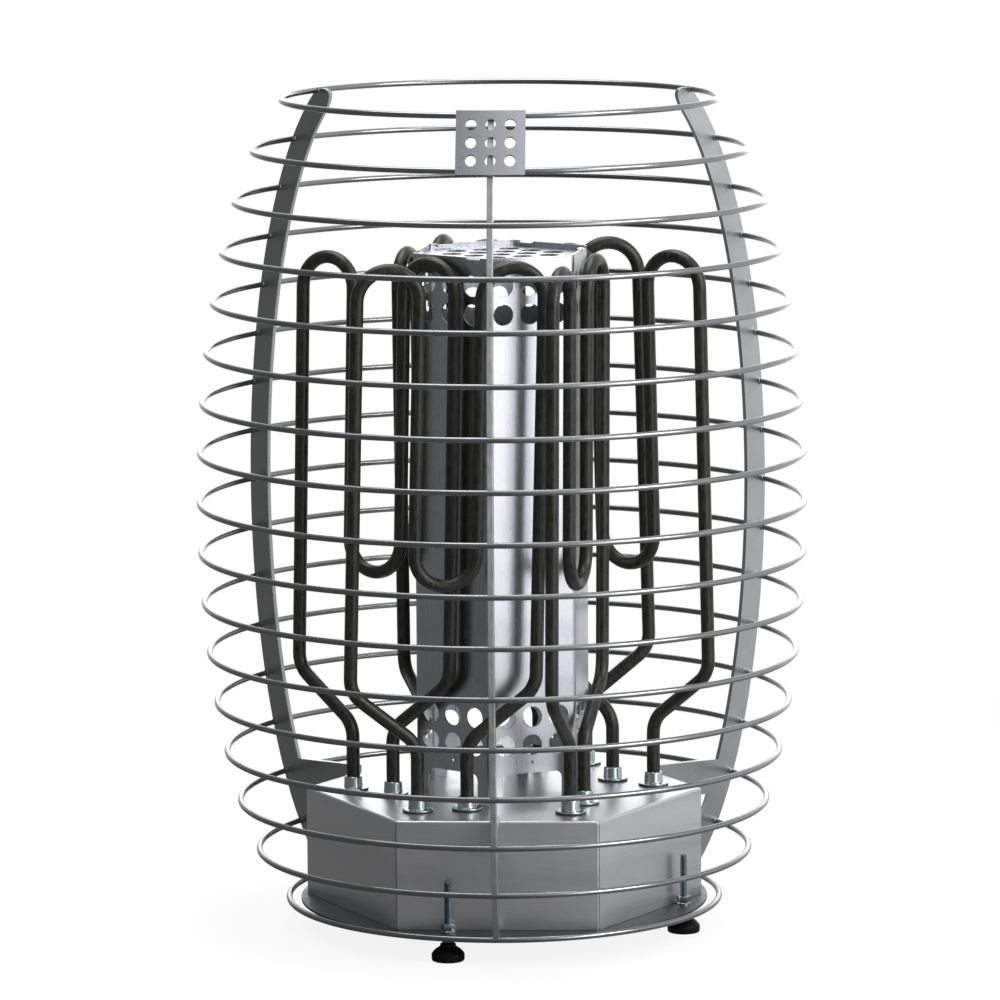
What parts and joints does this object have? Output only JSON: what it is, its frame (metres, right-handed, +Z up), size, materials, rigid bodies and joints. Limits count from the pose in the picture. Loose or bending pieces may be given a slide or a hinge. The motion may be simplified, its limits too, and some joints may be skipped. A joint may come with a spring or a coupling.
{
  "type": "sauna heater stove",
  "caption": "Floor-standing electric sauna stove: an open barrel of round hoops on notched ribs round a perforated air column and bent heating elements, on levelling feet.",
  "frame": {"origin": "on the floor under the stove axis", "axes": "+Z up, the name plate faces -Y"},
  "size_m": [0.52, 0.52, 0.714],
  "materials": {
    "cage_steel": "satin stainless rod and flat bar",
    "sheet_steel": "brushed stainless sheet",
    "element_oxide": "dark oxidised heating tube",
    "zinc_plate": "bright zinc plate",
    "black_plastic": "moulded black plastic",
    "ceramic": "glazed steatite"
  },
  "bodies": {
    "stove": {"hoop_01": "cage_steel", "hoop_02": "cage_steel", "hoop_03": "cage_steel", "hoop_04": "cage_steel", "hoop_05": "cage_steel", "hoop_06": "cage_steel", "hoop_07": "cage_steel", "hoop_08": "cage_steel", "hoop_09": "cage_steel", "hoop_10": "cage_steel", "hoop_11": "cage_steel", "hoop_12": "cage_steel", "hoop_13": "cage_steel", "hoop_14": "cage_steel", "hoop_15": "cage_steel", "hoop_16": "cage_steel", "hoop_17": "cage_steel", "rib_front": "cage_steel", "rib_right": "cage_steel", "rib_left": "cage_steel", "name_plate": "sheet_steel", "base_plate": "sheet_steel", "terminal_box": "sheet_steel", "air_column": "sheet_steel", "column_cap": "sheet_steel", "element_1": "element_oxide", "element_2": "element_oxide", "element_3": "element_oxide", "element_4": "element_oxide", "element_5": "element_oxide", "element_6": "element_oxide", "fitting_1a": "zinc_plate", "fitting_1b": "zinc_plate", "fitting_2a": "zinc_plate", "fitting_2b": "zinc_plate", "fitting_3a": "zinc_plate", "fitting_3b": "zinc_plate", "fitting_4a": "zinc_plate", "fitting_4b": "zinc_plate", "fitting_5a": "zinc_plate", "fitting_5b": "zinc_plate", "fitting_6a": "zinc_plate", "fitting_6b": "zinc_plate", "foot_nut_1": "zinc_plate", "foot_nut_2": "zinc_plate", "foot_nut_3": "zinc_plate", "foot_nut_4": "zinc_plate", "terminal_block": "ceramic", "earth_stud": "zinc_plate", "cable_gland": "black_plastic"},
    "pad_1": {"foot_pad_1": "black_plastic"},
    "stud_1": {"foot_stud_1": "zinc_plate"},
    "pad_2": {"foot_pad_2": "black_plastic"},
    "stud_2": {"foot_stud_2": "zinc_plate"},
    "pad_3": {"foot_pad_3": "black_plastic"},
    "stud_3": {"foot_stud_3": "zinc_plate"},
    "pad_4": {"foot_pad_4": "black_plastic"},
    "stud_4": {"foot_stud_4": "zinc_plate"}
  },
  "joints": [
    {"name": "foot_1_height", "type": "slide", "parent": "stove", "child": "pad_1", "axis": [0, 0, 1], "range_m": [-0.02, 0.004]},
    {"name": "foot_1_screw", "type": "hinge", "parent": "pad_1", "child": "stud_1", "pos_m": [-0.04141, -0.15455, 0.04], "axis": [0, 0, 1], "range_deg": [-7200, 1440]},
    {"name": "foot_2_height", "type": "slide", "parent": "stove", "child": "pad_2", "axis": [0, 0, 1], "range_m": [-0.02, 0.004]},
    {"name": "foot_2_screw", "type": "hinge", "parent": "pad_2", "child": "stud_2", "pos_m": [0.15455, -0.04141, 0.04], "axis": [0, 0, 1], "range_deg": [-7200, 1440]},
    {"name": "foot_3_height", "type": "slide", "parent": "stove", "child": "pad_3", "axis": [0, 0, 1], "range_m": [-0.02, 0.004]},
    {"name": "foot_3_screw", "type": "hinge", "parent": "pad_3", "child": "stud_3", "pos_m": [0.04141, 0.15455, 0.04], "axis": [0, 0, 1], "range_deg": [-7200, 1440]},
    {"name": "foot_4_height", "type": "slide", "parent": "stove", "child": "pad_4", "axis": [0, 0, 1], "range_m": [-0.02, 0.004]},
    {"name": "foot_4_screw", "type": "hinge", "parent": "pad_4", "child": "stud_4", "pos_m": [-0.15455, 0.04141, 0.04], "axis": [0, 0, 1], "range_deg": [-7200, 1440]}
  ],
  "couplings": [
    {"joint": "foot_1_screw", "follows": "foot_1_height", "rad_per_m": 6283.2},
    {"joint": "foot_2_screw", "follows": "foot_2_height", "rad_per_m": 6283.2},
    {"joint": "foot_3_screw", "follows": "foot_3_height", "rad_per_m": 6283.2},
    {"joint": "foot_4_screw", "follows": "foot_4_height", "rad_per_m": 6283.2}
  ]
}
